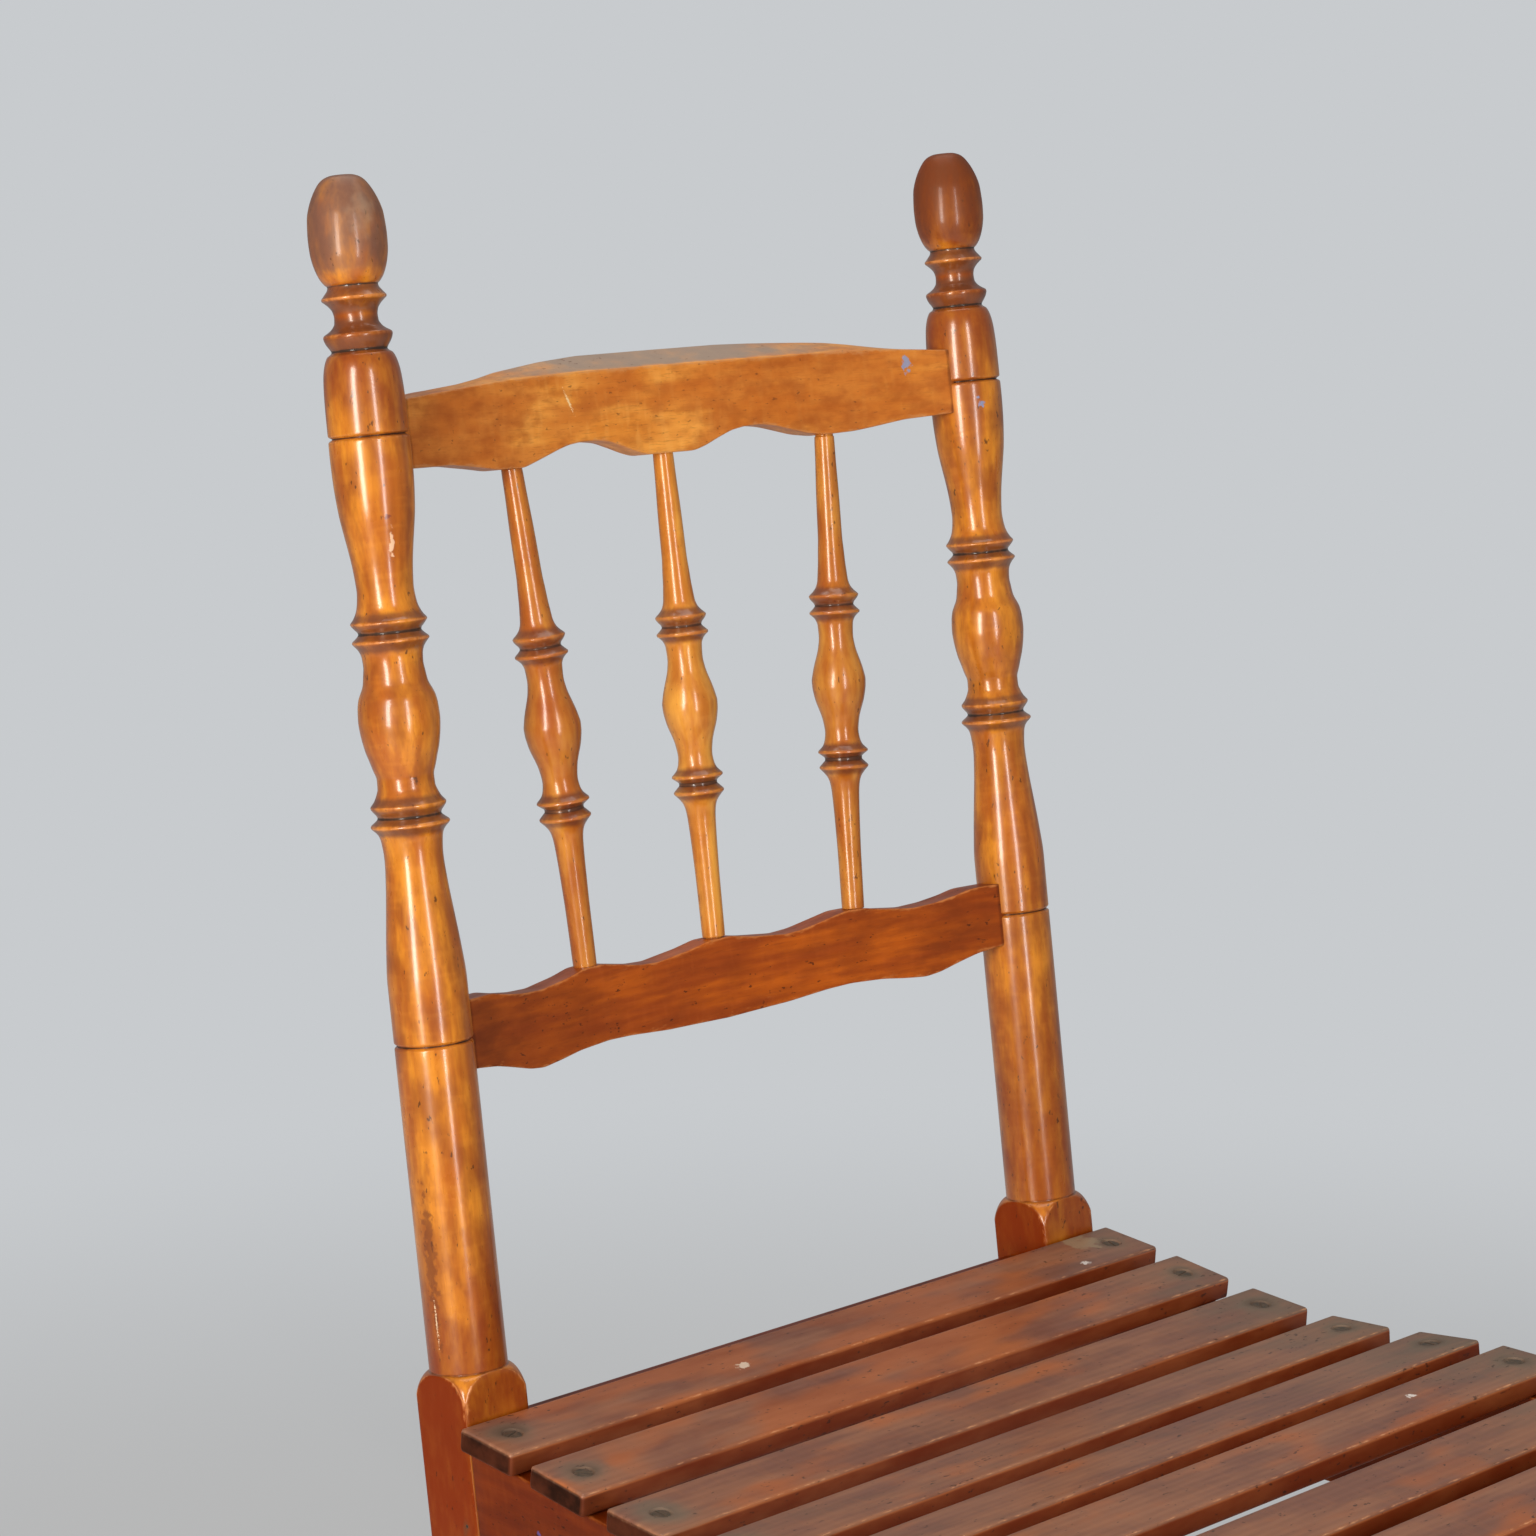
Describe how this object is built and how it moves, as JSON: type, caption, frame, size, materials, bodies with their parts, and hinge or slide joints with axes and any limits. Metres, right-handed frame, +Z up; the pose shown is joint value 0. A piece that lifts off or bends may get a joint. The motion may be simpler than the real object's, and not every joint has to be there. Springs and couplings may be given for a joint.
{
  "type": "side chair",
  "caption": "Wooden side chair with a turned spindle back, bowed and scalloped back rails, and a dished seat of screwed slats on turned legs.",
  "frame": {"origin": "middle of the footprint on the floor", "axes": "+Z up, +Y from the seat's front to the back, +X to the right seen from the front"},
  "size_m": [0.43, 0.5071, 0.9934],
  "materials": {
    "post_wood": "honey-orange varnished turned wood, dark in the grooves and worn on the arrises",
    "back_wood": "yellow-brown varnish, mottled, darker towards one end",
    "spindle_wood": "honey-orange varnish, glossy",
    "rail_wood": "deep red-brown stain and varnish",
    "slat_wood": "mauve-brown satin varnish over a reddish wood, worn lighter on the arrises",
    "screw_iron": "dark oxidised iron"
  },
  "bodies": {
    "root": {"back_post_left": "post_wood", "back_post_right": "post_wood", "front_leg_left": "post_wood", "front_leg_right": "post_wood", "crest_rail": "back_wood", "lower_back_rail": "back_wood", "back_spindle_left": "spindle_wood", "back_spindle_centre": "spindle_wood", "back_spindle_right": "spindle_wood", "side_seat_rail_left": "rail_wood", "side_seat_rail_right": "rail_wood", "front_seat_rail": "rail_wood", "rear_seat_rail": "rail_wood", "seat_slat_1": "slat_wood", "seat_slat_2": "slat_wood", "seat_slat_3": "slat_wood", "seat_slat_4": "slat_wood", "seat_slat_5": "slat_wood", "seat_slat_6": "slat_wood", "seat_slat_7": "slat_wood", "seat_slat_8": "slat_wood", "side_stretcher_upper_left": "post_wood", "side_stretcher_upper_right": "post_wood", "side_stretcher_lower_left": "post_wood", "side_stretcher_lower_right": "post_wood", "front_stretcher": "post_wood", "rear_stretcher": "post_wood", "slat_screw_1_left": "screw_iron", "slat_screw_1_right": "screw_iron", "slat_screw_2_left": "screw_iron", "slat_screw_2_right": "screw_iron", "slat_screw_3_left": "screw_iron", "slat_screw_3_right": "screw_iron", "slat_screw_4_left": "screw_iron", "slat_screw_4_right": "screw_iron", "slat_screw_5_left": "screw_iron", "slat_screw_5_right": "screw_iron", "slat_screw_6_left": "screw_iron", "slat_screw_6_right": "screw_iron", "slat_screw_7_left": "screw_iron", "slat_screw_7_right": "screw_iron", "slat_screw_8_left": "screw_iron", "slat_screw_8_right": "screw_iron", "rail_pin_rear_left": "screw_iron", "rail_pin_rear_right": "screw_iron", "rail_pin_front_left": "screw_iron", "rail_pin_front_right": "screw_iron"}
  },
  "joints": []
}
